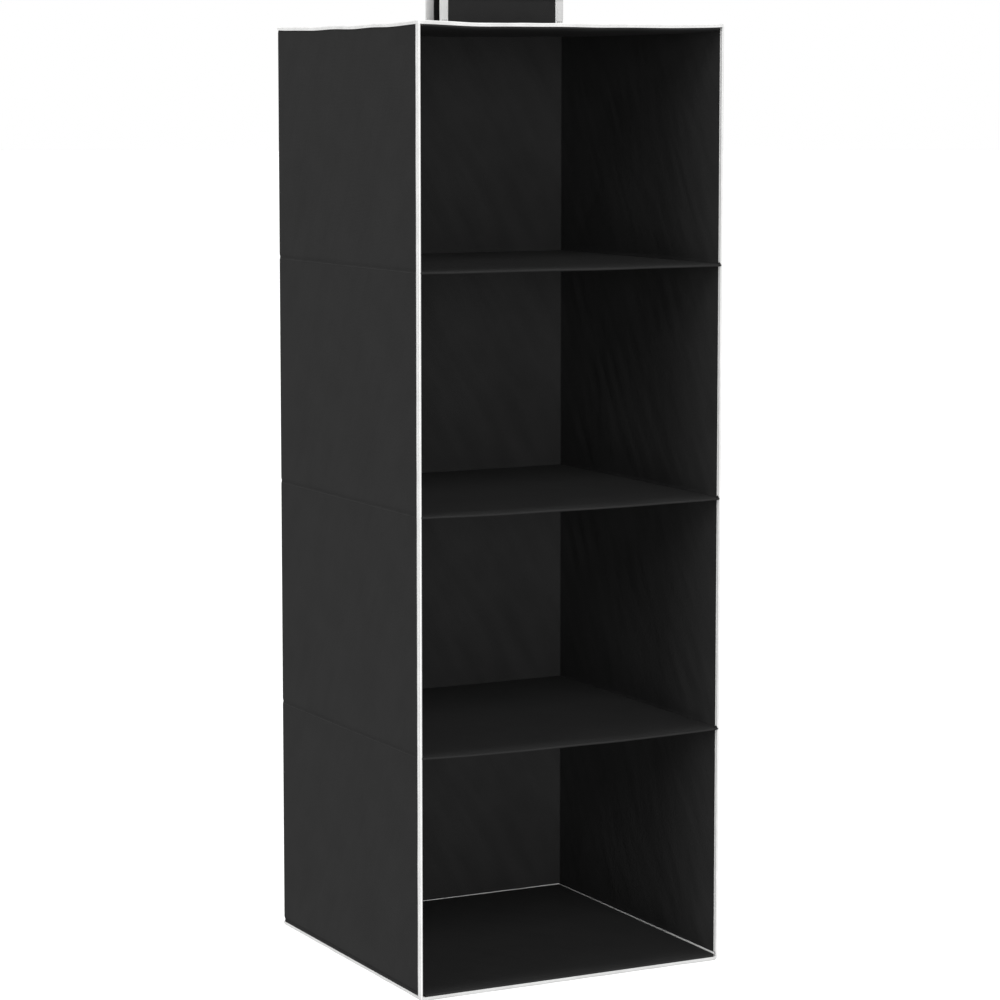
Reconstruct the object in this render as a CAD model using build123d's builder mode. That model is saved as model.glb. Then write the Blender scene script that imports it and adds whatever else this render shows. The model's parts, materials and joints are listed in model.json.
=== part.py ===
from build123d import *
import os

# Hanging closet organiser: a soft four-compartment body, open at the front, that hangs
# from a wide strap closed round a closet rod.
# Origin: on the rod's axis, at the middle of the strap's width.
# +Z up, -Y is the open front, +X is the right-hand side seen from the front.

# --- Driving dimensions, in millimetres ---
BODY_WIDTH = 300.0  # over the edge binding
BODY_DEPTH = 300.0
BODY_HEIGHT = 840.0  # top seam to bottom seam
TIERS = 4  # compartments, one above the other
ROD_RADIUS = 15.0  # closet rod that the strap closes round
ROD_TO_TOP = 120.0  # rod axis down to the top panel

WALL_CLOTH = 0.8  # side and back walls
SLEEVE_CLOTH = 0.6  # one layer of a shelf sleeve
BOARD = 1.8  # stiffener inside a sleeve
TAPE = 0.6  # one layer of edge binding

OUTER_LEAF = 7.0  # how far the front binding folds round the outside of a side wall
INNER_LEAF = 4.5  # and round its inside
TOP_SEAM_HEIGHT = 2.8  # bound seam that stands up round the top
BOTTOM_SEAM_HEIGHT = 3.5  # and the one that hangs down round the bottom
SEAM_THICKNESS = 2.0
INNER_SEAM_HEIGHT = 2.2  # bound seam along the floor of the lowest compartment
INNER_SEAM_THICKNESS = 1.4
SLEEVE_EDGE_RADIUS = 1.2  # soft front fold of a sleeve
TAB_WIDTH = 4.0  # shelf corner sewn over the front binding
TAB_HEIGHT = 2.6
TAB_THICKNESS = 0.6

STRAP_WIDTH = 124.0
STRAP_CLOTH = 1.4
STRAP_TONGUE = 1.0  # strap cloth where it is pinched inside its edge binding
STRAP_LEAF = 7.5  # width of the strap's binding
STRAP_FOOT = 25.0  # part of the strap sewn flat on the top panel
FLAP_LENGTH = 92.0  # front end of the strap, below the hinge line
TAB_TOP_BELOW_ROD = 30.0  # upper end of the fixed front tab, below the rod axis
CLOSURE_WIDTH = 100.0  # hook tape and loop tape
CLOSURE_LENGTH = 50.0
CLOSURE_THICKNESS = 1.0
CLOSURE_TOP_BELOW_ROD = 35.0

SLACK = 0.3  # clearance between pieces that move past each other
HINGE_RELIEF = 3.6  # strap left out above the hinge line, so that the flap can fold up
BOARD_PLAY = 0.1  # board to sleeve, at the edges

# --- Derived dimensions ---
PANEL = BOARD + 2 * SLEEVE_CLOTH
PITCH = (BODY_HEIGHT - PANEL) / TIERS
Z_TOP = -ROD_TO_TOP
PANEL_TOPS = [Z_TOP - PITCH * level for level in range(TIERS + 1)]
Z_BOTTOM = PANEL_TOPS[TIERS] - PANEL

HALF_WIDTH = BODY_WIDTH / 2
HALF_DEPTH = BODY_DEPTH / 2
WALL_OUT = HALF_WIDTH - TAPE  # outer face of a side wall
WALL_IN = WALL_OUT - WALL_CLOTH
LEAF_IN = WALL_IN - TAPE  # inner face of the front binding
BACK_IN = HALF_DEPTH - WALL_CLOTH

LEG_IN = ROD_RADIUS
LEG_OUT = ROD_RADIUS + STRAP_CLOTH
EDGE_OUT = ROD_RADIUS + STRAP_TONGUE + 2 * TAPE
TONGUE_IN = ROD_RADIUS + TAPE
TONGUE_OUT = TONGUE_IN + STRAP_TONGUE
BAND_HALF = STRAP_WIDTH / 2 - STRAP_LEAF  # strap cloth that shows between its bindings
TONGUE_HALF = STRAP_WIDTH / 2 - TAPE

HOOK_FACE = LEG_IN - CLOSURE_THICKNESS
LOOP_FACE = HOOK_FACE - SLACK
TAB_FACE = LOOP_FACE - CLOSURE_THICKNESS
CLOSURE_MIDDLE = -CLOSURE_TOP_BELOW_ROD - CLOSURE_LENGTH / 2

os.makedirs("parts", exist_ok=True)


def save(piece, name):
    """Labels a finished piece and writes its STEP file."""
    piece.part.label = name
    export_step(piece.part, f"parts/{name}.step")


# --- Panels: a stiff board inside a cloth sleeve that is open at the back ---


def panel_board(z_top):
    """Stiffener of the panel whose upper surface is at z_top."""
    with BuildPart() as board:
        width = 2 * (LEAF_IN - SLEEVE_CLOTH - BOARD_PLAY)
        depth = HALF_DEPTH + BACK_IN - SLEEVE_CLOTH - BOARD_PLAY
        with BuildSketch(Plane.XY.offset(z_top - SLEEVE_CLOTH)):
            with Locations((0, BACK_IN)):
                Rectangle(width, depth, align=(Align.CENTER, Align.MAX))
        extrude(amount=-BOARD)
    return board


def panel_sleeve(z_top, outer_half_width, back, corner_notches):
    """Sleeve of a panel; notches let its front corners sit between the side bindings."""
    depth = HALF_DEPTH + back
    with BuildPart() as sleeve:
        with BuildSketch(Plane.XY.offset(z_top)):
            with Locations((0, back)):
                Rectangle(2 * outer_half_width, depth, align=(Align.CENTER, Align.MAX))
            if corner_notches:
                with Locations((LEAF_IN, -HALF_DEPTH), (-LEAF_IN - INNER_LEAF, -HALF_DEPTH)):
                    Rectangle(INNER_LEAF, INNER_LEAF, align=Align.MIN, mode=Mode.SUBTRACT)
        extrude(amount=-PANEL)
        front = sleeve.faces().sort_by(Axis.Y)[0]
        fillet(front.edges().filter_by(Axis.X), radius=SLEEVE_EDGE_RADIUS)
        with BuildSketch(Plane.XY.offset(z_top - SLEEVE_CLOTH)):
            with Locations((0, back)):
                cavity_width = 2 * (LEAF_IN - SLEEVE_CLOTH)
                cavity_depth = depth - SLEEVE_CLOTH
                Rectangle(cavity_width, cavity_depth, align=(Align.CENTER, Align.MAX))
        extrude(amount=-BOARD, mode=Mode.SUBTRACT)
    return sleeve


save(panel_board(PANEL_TOPS[0]), "top_board")
save(panel_sleeve(PANEL_TOPS[0], WALL_IN, BACK_IN, True), "top_sleeve")
for shelf in range(1, TIERS):
    save(panel_board(PANEL_TOPS[shelf]), f"shelf_{shelf}_board")
    save(panel_sleeve(PANEL_TOPS[shelf], WALL_IN, BACK_IN, True), f"shelf_{shelf}_sleeve")
save(panel_board(PANEL_TOPS[TIERS]), "bottom_board")
save(panel_sleeve(PANEL_TOPS[TIERS], WALL_OUT, HALF_DEPTH, False), "bottom_sleeve")

# --- Shelf corners: a small tab over the front binding at each end of a shelf ---

for shelf in range(1, TIERS):
    with BuildPart() as corner_tabs:
        with BuildSketch(Plane.XZ.offset(HALF_DEPTH)):
            middle = PANEL_TOPS[shelf] - PANEL / 2
            reach = HALF_WIDTH - TAB_WIDTH / 2
            with Locations((-reach, middle), (reach, middle)):
                Rectangle(TAB_WIDTH, TAB_HEIGHT)
        extrude(amount=TAB_THICKNESS)
    save(corner_tabs, f"shelf_{shelf}_corner_tabs")

# --- Walls: one length of cloth per compartment, sewn to the panel above and below ---


def side_wall(side, z_low, z_high):
    """Left (side -1) or right (side +1) wall of a compartment."""
    with BuildPart() as wall:
        with BuildSketch(Plane.XY.offset(z_low)):
            with Locations((side * (WALL_IN + WALL_OUT) / 2, HALF_DEPTH)):
                Rectangle(WALL_CLOTH, BODY_DEPTH - TAPE, align=(Align.CENTER, Align.MAX))
        extrude(amount=z_high - z_low)
    return wall


def front_binding(side, z_low, z_high):
    """White tape folded round the front edge of a side wall."""
    with BuildPart() as binding:
        with BuildSketch(Plane.XY.offset(z_low)):
            with Locations((side * (HALF_WIDTH + WALL_IN) / 2, -HALF_DEPTH)):
                Rectangle(HALF_WIDTH - WALL_IN, OUTER_LEAF, align=(Align.CENTER, Align.MIN))
            with Locations((side * (WALL_OUT + LEAF_IN) / 2, -HALF_DEPTH)):
                Rectangle(WALL_OUT - LEAF_IN, INNER_LEAF, align=(Align.CENTER, Align.MIN))
            with Locations((side * (WALL_IN + WALL_OUT) / 2, TAPE - HALF_DEPTH)):
                fold = (Align.CENTER, Align.MIN)
                Rectangle(WALL_CLOTH, OUTER_LEAF, align=fold, mode=Mode.SUBTRACT)
        extrude(amount=z_high - z_low)
    return binding


for tier in range(1, TIERS + 1):
    z_high = PANEL_TOPS[tier - 1]
    z_low = PANEL_TOPS[tier] + SLACK
    with BuildPart() as back_wall:
        with BuildSketch(Plane.XY.offset(z_low)):
            with Locations((0, HALF_DEPTH)):
                Rectangle(2 * WALL_IN, WALL_CLOTH, align=(Align.CENTER, Align.MAX))
        extrude(amount=z_high - z_low)
    save(back_wall, f"back_wall_{tier}")
    for side, hand in ((-1, "left"), (1, "right")):
        save(side_wall(side, z_low, z_high), f"{hand}_wall_{tier}")
        save(front_binding(side, z_low, z_high), f"{hand}_binding_{tier}")

# --- Bound seams round the top and bottom edges ---

for name, z_edge, height in (
    ("top_binding", Z_TOP, TOP_SEAM_HEIGHT),
    ("bottom_binding", Z_BOTTOM, -BOTTOM_SEAM_HEIGHT),
):
    with BuildPart() as seam:
        with BuildSketch(Plane.XY.offset(z_edge)):
            Rectangle(BODY_WIDTH, BODY_DEPTH)
            inner_width = BODY_WIDTH - 2 * SEAM_THICKNESS
            inner_depth = BODY_DEPTH - 2 * SEAM_THICKNESS
            Rectangle(inner_width, inner_depth, mode=Mode.SUBTRACT)
        extrude(amount=height)
    save(seam, name)

with BuildPart() as inner_seam:
    with BuildSketch(Plane.XY.offset(PANEL_TOPS[TIERS])):
        outer_half = LEAF_IN - TAPE
        inner_half = outer_half - INNER_SEAM_THICKNESS
        back_edge = BACK_IN - TAPE
        front_edge = TAPE - HALF_DEPTH
        with Locations((0, front_edge)):
            edge_aligned = (Align.CENTER, Align.MIN)
            Rectangle(2 * outer_half, back_edge - front_edge, align=edge_aligned)
            clear_depth = back_edge - INNER_SEAM_THICKNESS - front_edge
            Rectangle(2 * inner_half, clear_depth, align=edge_aligned, mode=Mode.SUBTRACT)
    extrude(amount=INNER_SEAM_HEIGHT)
save(inner_seam, "bottom_inner_seam")

# --- Strap: sewn to the top panel behind the rod, over the rod, closed at the front ---
# Each band is drawn side-on in the YZ plane and extruded across the strap's width. A
# binding holds the band's thinner tongue in a slot.


def rear_band(inner, outer, half_width, lift):
    """Rear foot, rear leg and half-round over the rod, between two radii from the rod axis."""
    with BuildPart(mode=Mode.PRIVATE) as band:
        with BuildSketch(Plane.YZ):
            Circle(outer)
            Circle(inner, mode=Mode.SUBTRACT)
            Rectangle(2 * outer, outer, align=(Align.CENTER, Align.MIN), mode=Mode.INTERSECT)
            with Locations((-outer, 0)):
                Rectangle(outer, HINGE_RELIEF, align=Align.MIN, mode=Mode.SUBTRACT)
            with Locations((inner, Z_TOP + lift)):
                Rectangle(outer - inner, ROD_TO_TOP - lift, align=Align.MIN)
                Rectangle(STRAP_FOOT, outer - inner, align=Align.MIN)
        extrude(amount=half_width, both=True)
    return band.part


def flap_band(inner, outer, half_width):
    """Front flap, hanging from a rounded end on the hinge line."""
    with BuildPart(mode=Mode.PRIVATE) as band:
        with BuildSketch(Plane.YZ):
            thickness = outer - inner
            middle = -(inner + outer) / 2
            with Locations((middle, 0)):
                Circle(thickness / 2)
                Rectangle(thickness, FLAP_LENGTH, align=(Align.CENTER, Align.MAX))
        extrude(amount=half_width, both=True)
    return band.part


def tab_band(front, back, half_width, lift):
    """Fixed front tab with a foot sewn on the top panel, between two distances from the rod."""
    with BuildPart(mode=Mode.PRIVATE) as band:
        with BuildSketch(Plane.YZ):
            thickness = front - back
            with Locations((-back, Z_TOP + lift)):
                height = ROD_TO_TOP - TAB_TOP_BELOW_ROD - lift
                Rectangle(thickness, height, align=(Align.MAX, Align.MIN))
                Rectangle(STRAP_FOOT, thickness, align=(Align.MAX, Align.MIN))
        extrude(amount=half_width, both=True)
    return band.part


def save_band(name, cloth, tongue, edge):
    """Saves a band's cloth, and its two edge bindings as one node. edge is as wide as the strap."""
    with BuildPart() as band:
        add(cloth)
        add(tongue)
    save(band, name)
    with BuildPart() as binding:
        add(edge)
        Box(2 * BAND_HALF, BODY_DEPTH, BODY_DEPTH, mode=Mode.SUBTRACT)
        add(tongue, mode=Mode.SUBTRACT)
    save(binding, f"{name}_binding")


HALF_STRAP = STRAP_WIDTH / 2
save_band(
    "strap",
    rear_band(LEG_IN, LEG_OUT, BAND_HALF, 0),
    rear_band(TONGUE_IN, TONGUE_OUT, TONGUE_HALF, TAPE),
    rear_band(LEG_IN, EDGE_OUT, HALF_STRAP, 0),
)
save_band(
    "strap_flap",
    flap_band(LEG_IN, LEG_OUT, BAND_HALF),
    flap_band(TONGUE_IN, TONGUE_OUT, TONGUE_HALF),
    flap_band(LEG_IN, EDGE_OUT, HALF_STRAP),
)
TAB_BACK = TAB_FACE - STRAP_CLOTH
save_band(
    "strap_tab",
    tab_band(TAB_FACE, TAB_BACK, BAND_HALF, 0),
    tab_band(TAB_FACE, TAB_FACE - STRAP_TONGUE, TONGUE_HALF, TAPE),
    tab_band(TAB_FACE + TAPE, TAB_BACK, HALF_STRAP, 0),
)

for name, face in (("strap_hook_tape", LEG_IN), ("strap_loop_tape", LOOP_FACE)):
    with BuildPart() as closure:
        with BuildSketch(Plane.XZ.offset(face)):
            with Locations((0, CLOSURE_MIDDLE)):
                Rectangle(CLOSURE_WIDTH, CLOSURE_LENGTH)
        extrude(amount=-CLOSURE_THICKNESS)
    save(closure, name)
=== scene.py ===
import json
import math

import bmesh
import bpy
import numpy as np
from mathutils import Matrix, Vector


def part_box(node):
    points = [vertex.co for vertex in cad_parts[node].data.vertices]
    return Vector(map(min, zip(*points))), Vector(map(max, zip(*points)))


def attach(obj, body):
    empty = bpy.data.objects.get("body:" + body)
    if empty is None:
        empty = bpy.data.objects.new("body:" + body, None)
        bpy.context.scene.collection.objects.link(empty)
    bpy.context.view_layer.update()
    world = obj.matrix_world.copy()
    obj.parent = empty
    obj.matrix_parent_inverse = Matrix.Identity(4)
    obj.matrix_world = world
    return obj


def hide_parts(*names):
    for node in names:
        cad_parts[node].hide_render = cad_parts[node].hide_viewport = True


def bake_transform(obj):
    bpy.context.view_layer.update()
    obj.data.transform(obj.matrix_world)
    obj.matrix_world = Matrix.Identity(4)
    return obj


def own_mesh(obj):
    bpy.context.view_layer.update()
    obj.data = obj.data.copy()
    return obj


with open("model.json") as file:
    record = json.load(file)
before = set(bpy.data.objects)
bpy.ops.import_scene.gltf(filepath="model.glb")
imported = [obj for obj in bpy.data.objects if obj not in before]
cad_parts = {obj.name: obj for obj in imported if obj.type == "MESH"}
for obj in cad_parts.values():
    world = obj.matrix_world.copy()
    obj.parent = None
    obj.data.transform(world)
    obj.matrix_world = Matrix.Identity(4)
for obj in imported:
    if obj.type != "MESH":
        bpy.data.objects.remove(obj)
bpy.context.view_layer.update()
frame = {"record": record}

# A soft hanging closet organiser: black non-woven cloth, white edge binding, open front.
# Everything is in metres, in the CAD frame: +Z up, -Y the open front, origin on the rod.
MM = 0.001

# ---------------------------------------------------------------- places, from the frame

PANELS = ["top", "shelf_1", "shelf_2", "shelf_3", "bottom"]
TIERS = len(PANELS) - 1
LEVELS = [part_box(f"{panel}_sleeve")[1].z for panel in PANELS]
PANEL_THICKNESS = LEVELS[0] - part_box("top_sleeve")[0].z
Z_TOP = LEVELS[0]
Z_BOTTOM = LEVELS[-1] - PANEL_THICKNESS
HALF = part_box("right_binding_1")[1].x
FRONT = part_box("right_binding_1")[0].y
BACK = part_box("back_wall_1")[1].y
WALL_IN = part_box("right_wall_1")[0].x
WALL_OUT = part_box("right_wall_1")[1].x
WALL_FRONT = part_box("right_wall_1")[0].y
LEAF_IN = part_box("right_binding_1")[0].x
CLOTH = WALL_OUT - WALL_IN

# ---------------------------------------------------------------- mesh helpers


def smoothstep(x):
    x = np.clip(x, 0.0, 1.0)
    return x * x * (3 - 2 * x)


def ripple(a, b, size, seed):
    """Smooth random waves about size long, from -1 to 1, over the plane (a, b)."""
    rng = np.random.default_rng(seed)
    total = 0
    for _ in range(7):
        turn, phase = rng.uniform(0, 2 * math.pi, 2)
        rate = 2 * math.pi / (size * rng.uniform(0.7, 1.5))
        total = total + np.sin(rate * (a * math.cos(turn) + b * math.sin(turn)) + phase)
    return total / 4


class Pile:
    """Collects closed bits of mesh, with cloth coordinates in metres, into one object."""

    def __init__(self):
        self.points, self.faces, self.uvs, self.sides = [], [], [], []

    def add(self, points, faces, uvs, sides=0):
        start = sum(len(p) for p in self.points)
        self.points.append(np.reshape(points, (-1, 3)))
        self.uvs.append(np.reshape(uvs, (-1, 2)))
        self.faces += [[start + i for i in face] for face in faces]
        self.sides.append(np.full(len(faces), sides) if np.isscalar(sides) else sides)

    def sheet(self, outer, inner, uvs):
        """A sheet with thickness: two grids of the same shape, and the rim between them."""
        rows, columns = outer.shape[:2]
        index = np.arange(rows * columns).reshape(rows, columns)
        a, b, c, d = index[:-1, :-1], index[1:, :-1], index[1:, 1:], index[:-1, 1:]
        quads = np.stack([a, b, c, d], -1).reshape(-1, 4)
        under = quads[:, ::-1] + rows * columns
        rim = np.concatenate(
            [index[:, 0], index[-1, 1:], index[::-1, -1][1:], index[0, ::-1][1:-1]]
        )
        after = np.roll(rim, -1)
        shift = rows * columns
        sides = np.stack([after, rim, rim + shift, after + shift], -1)
        faces = np.concatenate([quads, under, sides]).tolist()
        kinds = np.repeat([0, 1, 0], [len(quads), len(under), len(sides)])
        self.add(np.concatenate([outer.reshape(-1, 3), inner.reshape(-1, 3)]), faces,
                 np.concatenate([uvs.reshape(-1, 2), uvs.reshape(-1, 2)]), kinds)

    def tube(self, rings, closed=False):
        """A tube through rings of points, with end caps unless it closes on itself."""
        count, around = rings.shape[:2]
        steps = np.linalg.norm(np.diff(rings.mean(1), axis=0), axis=1)
        along = np.concatenate([[0], np.cumsum(steps)])
        across = np.linalg.norm(rings - np.roll(rings, 1, axis=1), axis=2).cumsum(1)
        uvs = np.stack([np.repeat(along[:, None], around, 1), across], -1)
        faces = []
        for i in range(count if closed else count - 1):
            j = (i + 1) % count
            for k in range(around):
                m = (k + 1) % around
                faces.append([i * around + k, i * around + m, j * around + m, j * around + k])
        if not closed:
            faces.append(list(range(around))[::-1])
            faces.append([(count - 1) * around + k for k in range(around)])
        self.add(rings, faces, uvs)

    def stitches(self, path, normals, pitch, length, radius):
        """A row of thread stitches along a path on a surface; each dips in at its ends."""
        steps = np.linalg.norm(np.diff(path, axis=0), axis=1)
        along = np.concatenate([[0], np.cumsum(steps)])
        count = int((along[-1] - length) / pitch)
        margin = (along[-1] - count * pitch) / 2
        for k in range(count + 1):
            places = margin + k * pitch + np.linspace(-0.5, 0.5, 5) * length
            centre = np.stack([np.interp(places, along, path[:, i]) for i in range(3)], -1)
            up = np.array([np.interp(places[2], along, normals[:, i]) for i in range(3)])
            up = up / np.linalg.norm(up)
            ahead = centre[-1] - centre[0]
            ahead = ahead / np.linalg.norm(ahead)
            beside = np.cross(up, ahead)
            lift = np.array([-0.8, 0.35, 0.6, 0.35, -0.8]) * radius
            width = np.array([0.55, 1.0, 1.1, 1.0, 0.55]) * radius
            turns = np.arange(6) * math.pi / 3
            circle = np.cos(turns)[:, None] * beside + np.sin(turns)[:, None] * up
            rings = centre[:, None] + lift[:, None, None] * up + width[:, None, None] * circle
            self.tube(rings)

    def object(self, name, material, body, slot, replaced=(), inside=None):
        """Makes the piece. inside is the material of every sheet's second face."""
        mesh = bpy.data.meshes.new(name)
        points = np.concatenate(self.points)
        mesh.from_pydata(points.tolist(), [], self.faces)
        uvs = np.concatenate(self.uvs)
        layer = mesh.uv_layers.new(name="cloth")
        corners = np.zeros(len(mesh.loops), np.int32)
        mesh.loops.foreach_get("vertex_index", corners)
        layer.data.foreach_set("uv", uvs[corners].astype(np.float32).ravel())
        if inside:
            mesh.materials.append(material)
            mesh.materials.append(inside)
            mesh.polygons.foreach_set("material_index", np.concatenate(self.sides).astype(np.int32))
        else:
            mesh.materials.append(material)
        bm = bmesh.new()
        bm.from_mesh(mesh)
        bmesh.ops.recalc_face_normals(bm, faces=bm.faces)
        bm.to_mesh(mesh)
        bm.free()
        mesh.polygons.foreach_set("use_smooth", [True] * len(mesh.polygons))
        mesh.set_sharp_from_angle(angle=math.radians(50))
        made = bpy.data.objects.new(name, mesh)
        bpy.context.scene.collection.objects.link(made)
        if body:
            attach(made, body)
        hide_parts(*replaced)
        return made


# ---------------------------------------------------------------- materials


class Shader:
    """A node tree with a Principled surface, built by short calls."""

    def __init__(self, name, roughness, specular, sheen=0.0):
        self.material = bpy.data.materials.new(name)
        self.material.use_nodes = True
        self.tree = self.material.node_tree
        self.surface = self.tree.nodes["Principled BSDF"]
        self.surface.inputs["Roughness"].default_value = roughness
        self.surface.inputs["Specular IOR Level"].default_value = specular
        self.surface.inputs["Sheen Weight"].default_value = sheen
        self.surface.inputs["Sheen Roughness"].default_value = 0.5

    def node(self, kind, inputs=None, **settings):
        made = self.tree.nodes.new(kind)
        for key, value in settings.items():
            setattr(made, key, value)
        for key, value in (inputs or {}).items():
            if isinstance(value, bpy.types.NodeSocket):
                self.tree.links.new(value, made.inputs[key])
            else:
                made.inputs[key].default_value = value
        return made

    def cloth_plane(self, turn=0.0, cell=(1.0, 1.0)):
        """Cloth coordinates in metres, turned by degrees, then measured in cells across and along."""
        uv = self.node("ShaderNodeUVMap", uv_map="cloth").outputs["UV"]
        return self.node(
            "ShaderNodeMapping",
            {"Vector": uv, "Rotation": (0, 0, math.radians(turn)), "Scale": (*cell, 1.0)},
            vector_type="TEXTURE",
        ).outputs["Vector"]

    def noise(self, vector, scale, detail=3.0, roughness=0.5):
        return self.node(
            "ShaderNodeTexNoise",
            {"Vector": vector, "Scale": scale, "Detail": detail, "Roughness": roughness},
        ).outputs["Fac"]

    def between(self, value, low, high):
        return self.node(
            "ShaderNodeMapRange", {"Value": value, "From Min": low, "From Max": high}
        ).outputs["Result"]

    def math(self, operation, a, b):
        return self.node("ShaderNodeMath", {0: a, 1: b}, operation=operation).outputs[0]

    def colours(self, value, dark, light):
        mix = self.node("ShaderNodeMix", {0: value}, data_type="RGBA")
        mix.inputs[6].default_value = (*dark, 1)
        mix.inputs[7].default_value = (*light, 1)
        self.tree.links.new(mix.outputs[2], self.surface.inputs["Base Color"])

    def bump(self, height, distance, strength=1.0):
        made = self.node(
            "ShaderNodeBump", {"Height": height, "Distance": distance, "Strength": strength}
        )
        self.tree.links.new(made.outputs["Normal"], self.surface.inputs["Normal"])


CREASE_LEAN = -30  # degrees from upright


def nonwoven(name, dark, light, emboss, crease_shading):
    """Spun-bonded cloth: a lattice of small pressed dots in a felt of fine fibres.
    The last argument sets how much its tone varies in leaning streaks along the creases' lean: painted
    shade and light standing for the shading of fine creases."""
    s = Shader(name, 0.85, 0.07, 0.01)
    plain, diagonal = s.cloth_plane(), s.cloth_plane(45)
    dots = s.node(
        "ShaderNodeTexVoronoi", {"Vector": diagonal, "Scale": 1 / (1.7 * MM), "Randomness": 0.0}
    ).outputs["Distance"]
    dimple = s.between(dots, 0.18, 0.36)
    fibres = s.noise(s.cloth_plane(35, (1.0, 3.2)), 1500, 4.0, 0.65)
    crossing = s.noise(s.cloth_plane(-50, (1.0, 3.2)), 1300, 4.0, 0.65)
    felt = s.math("ADD", fibres, crossing)
    creases = s.noise(s.cloth_plane(CREASE_LEAN, (7 * MM, 60 * MM)), 1.0, 2.0)
    height = s.math("ADD", s.math("MULTIPLY", dimple, emboss), s.math("MULTIPLY", felt, 0.5))
    height = s.math("ADD", height, s.math("MULTIPLY", creases, 2.0))
    cloudy = s.between(s.noise(plain, 22, 4.0), 0.3, 0.7)
    speckle = s.between(felt, 0.8, 1.2)
    # painted shade and light: streaks of darker and lighter tone that lean with the creases stand for
    # their shading
    streak = s.between(s.noise(s.cloth_plane(CREASE_LEAN, (14 * MM, 90 * MM)), 1.0, 3.0), 0.3, 0.7)
    tone = s.math("ADD", s.math("MULTIPLY", cloudy, 0.25), s.math("MULTIPLY", speckle, 0.25))
    tone = s.math("ADD", tone, s.math("MULTIPLY", dimple, 0.25))
    tone_and_painted_crease_shade = s.math("ADD", tone, s.math("MULTIPLY", streak, crease_shading))
    s.colours(tone_and_painted_crease_shade, dark, light)
    s.bump(height, 0.12 * MM, 0.7)
    return s.material


def tape(name, dark, light):
    """Narrow woven binding: fine ribs across the tape, and a faint unevenness along it."""
    s = Shader(name, 0.78, 0.2, 0.05)
    ribs = s.node(
        "ShaderNodeTexWave",
        {"Vector": s.cloth_plane(), "Scale": 1 / (2.2 * MM), "Distortion": 0.6, "Detail": 2.0},
        bands_direction="X",
    ).outputs["Fac"]
    grain = s.noise(s.cloth_plane(), 900, 3.0)
    cloudy = s.between(s.noise(s.cloth_plane(), 60, 3.0), 0.3, 0.7)
    tone = s.math("ADD", s.math("MULTIPLY", ribs, 0.2), s.math("MULTIPLY", cloudy, 0.8))
    s.colours(tone, dark, light)
    s.bump(s.math("ADD", ribs, s.math("MULTIPLY", grain, 0.6)), 0.08 * MM, 0.6)
    return s.material


def hooked(name, dark, light, size):
    """Hook or loop tape: a dense pile of tiny tufts, with painted shade between them."""
    s = Shader(name, 0.7, 0.25, 0.1)
    tufts = s.node(
        "ShaderNodeTexVoronoi", {"Vector": s.cloth_plane(), "Scale": 1 / size, "Randomness": 0.9}
    ).outputs["Distance"]
    # painted shade: each tuft is lighter at its top and darker towards the gaps between tufts, where
    # they would shade each other
    s.colours(s.between(tufts, 0.1, 0.7), light, dark)
    s.bump(s.math("SUBTRACT", 1.0, tufts), 0.5 * MM, 0.9)
    return s.material


def cardboard(name, dark, light):
    """Grey-brown board with short fibres and flecks."""
    s = Shader(name, 0.9, 0.2)
    where = s.cloth_plane(0, (1.0, 2.5))
    fibre = s.noise(where, 700, 5.0, 0.7)
    s.colours(s.between(s.math("ADD", fibre, s.noise(where, 40)), 0.7, 1.3), dark, light)
    s.bump(fibre, 0.1 * MM, 0.5)
    return s.material


def painted_floor(name, dark, light):
    """Pale matt floor with a barely visible unevenness."""
    s = Shader(name, 0.95, 0.0)
    where = s.node("ShaderNodeTexCoord").outputs["Object"]
    s.colours(s.between(s.noise(where, 3.0, 4.0), 0.3, 0.7), dark, light)
    s.bump(s.noise(where, 60, 3.0), 0.2 * MM, 0.3)
    return s.material


BLACK = nonwoven("black_nonwoven", (0.0148,) * 3, (0.0238,) * 3, 1.0, 0.15)
# The inner faces are the same cloth as the outer ones; this copy is a little lighter and far more
# streaked: painted light and painted crease shade for the inside of the compartments.
BLACK_INSIDE = nonwoven("black_nonwoven_inside_painted_light", (0.0148,) * 3, (0.0252,) * 3, 1.0, 0.4)
STRAP_BLACK = nonwoven("strap_nonwoven", (0.0152,) * 3, (0.0265,) * 3, 0.8, 0.15)
WHITE = tape("white_tape", (0.58, 0.58, 0.575), (0.68, 0.68, 0.675))
THREAD = tape("black_thread", (0.012,) * 3, (0.03,) * 3)
# The bar tacks are white thread on white tape; this grey is painted shade, standing for the small
# shadows that make them show.
TACK_THREAD = tape("tack_thread_painted_shade", (0.22,) * 3, (0.38,) * 3)
HOOK = hooked("hook_tape", (0.008,) * 3, (0.03,) * 3, 1.3 * MM)
LOOP = hooked("loop_tape", (0.010,) * 3, (0.04,) * 3, 0.6 * MM)
BOARD = cardboard("board", (0.26, 0.2, 0.14), (0.45, 0.36, 0.26))

# ---------------------------------------------------------------- panels

# How far the middle of each front edge hangs below its ends.
SAGS = {"top": 0.0, "shelf_1": 0.3 * MM, "shelf_2": 1.3 * MM, "shelf_3": 2.0 * MM,
        "bottom": 0.3 * MM}
TOP_DIP = 1.7 * MM  # how far the top seam dips between its high places


def top_dip(x, y):
    """The top seam runs highest at its four corners and where the strap lifts the panel."""
    corner = (np.abs(x) / HALF) ** 4 * (np.abs(y) / HALF) ** 4
    out = np.maximum(np.abs(x), np.abs(y)) / HALF
    uneven = 0.25 * ripple(x, y, 0.07, 5) * (1 - corner)
    return TOP_DIP * ((1 - corner) + uneven) * smoothstep((out - 0.45) / 0.5)


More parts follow.
